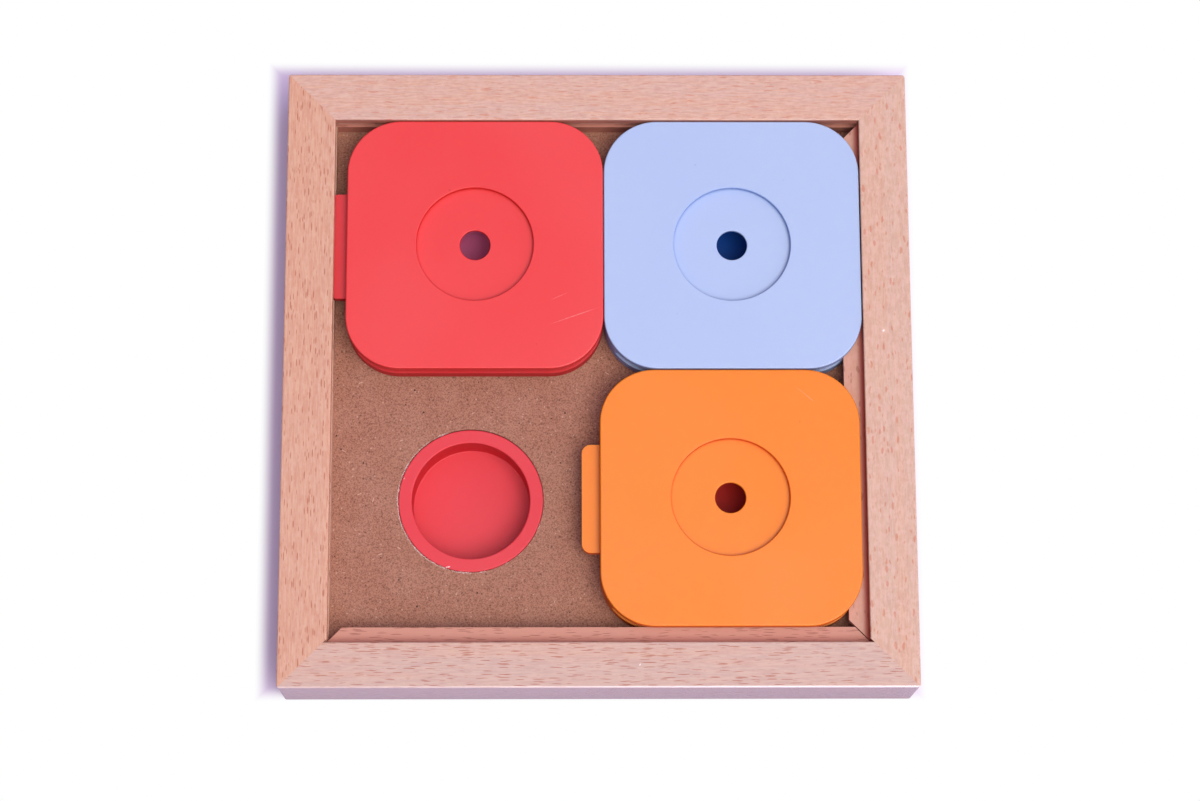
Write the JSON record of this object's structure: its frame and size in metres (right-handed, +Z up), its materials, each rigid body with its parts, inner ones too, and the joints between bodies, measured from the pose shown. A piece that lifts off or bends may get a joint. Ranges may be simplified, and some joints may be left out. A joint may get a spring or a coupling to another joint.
{
  "type": "dog puzzle feeder",
  "caption": "Sliding-tile treat puzzle for dogs: square mitred wooden frame, sunk round cups in a fibre board, and moulded tiles that slide on tabs and grooves.",
  "frame": {"origin": "centre of the square frame, on the surface that the feet stand on", "axes": "+Z up, +X to the right and +Y to the back as the picture shows it, with the open cell at the front left"},
  "size_m": [0.26, 0.26, 0.038],
  "materials": {
    "beech": "planed and sanded beech, clear matt lacquer, fine flecks along the grain",
    "spline_wood": "sawn birch plywood, glued in",
    "fibre_board": "bare fibre board with dark and pale fibre flecks",
    "cup_red": "injection-moulded, satin",
    "cup_blue": "injection-moulded, satin",
    "tile_red": "injection-moulded, satin, faint scratches from use",
    "tile_blue": "injection-moulded, satin",
    "tile_orange": "injection-moulded, satin",
    "foot_rubber": "moulded rubber, matt"
  },
  "bodies": {
    "frame": {"frame_bar_front": "beech", "frame_bar_right": "beech", "frame_bar_back": "beech", "frame_bar_left": "beech", "mitre_spline_front_right": "spline_wood", "mitre_spline_back_right": "spline_wood", "mitre_spline_back_left": "spline_wood", "mitre_spline_front_left": "spline_wood", "base_board": "fibre_board", "cup_front_left": "cup_red", "cup_front_right": "cup_red", "cup_back_left": "cup_blue", "cup_back_right": "cup_blue", "foot_front_left": "foot_rubber", "foot_front_right": "foot_rubber", "foot_back_left": "foot_rubber", "foot_back_right": "foot_rubber"},
    "red_tile": {"red_tile_top": "tile_red", "red_tile_core": "tile_red", "red_tile_bottom": "tile_red"},
    "blue_tile": {"blue_tile_top": "tile_blue", "blue_tile_core": "tile_blue", "blue_tile_bottom": "tile_blue"},
    "orange_tile": {"orange_tile_top": "tile_orange", "orange_tile_core": "tile_orange", "orange_tile_bottom": "tile_orange"}
  },
  "joints": [
    {"name": "orange_tile_slide", "type": "slide", "parent": "frame", "child": "orange_tile", "axis": [1, 0, 0], "range_m": [-0.1103, 0.0019]},
    {"name": "red_tile_slide", "type": "slide", "parent": "frame", "child": "red_tile", "axis": [1, 0, 0], "range_m": [-0.0049, 0]},
    {"name": "blue_tile_slide", "type": "slide", "parent": "frame", "child": "blue_tile", "axis": [1, 0, 0], "range_m": [-0.0049, 0]}
  ],
  "couplings": [
    {"joint": "blue_tile_slide", "follows": "red_tile_slide", "ratio": 1}
  ]
}
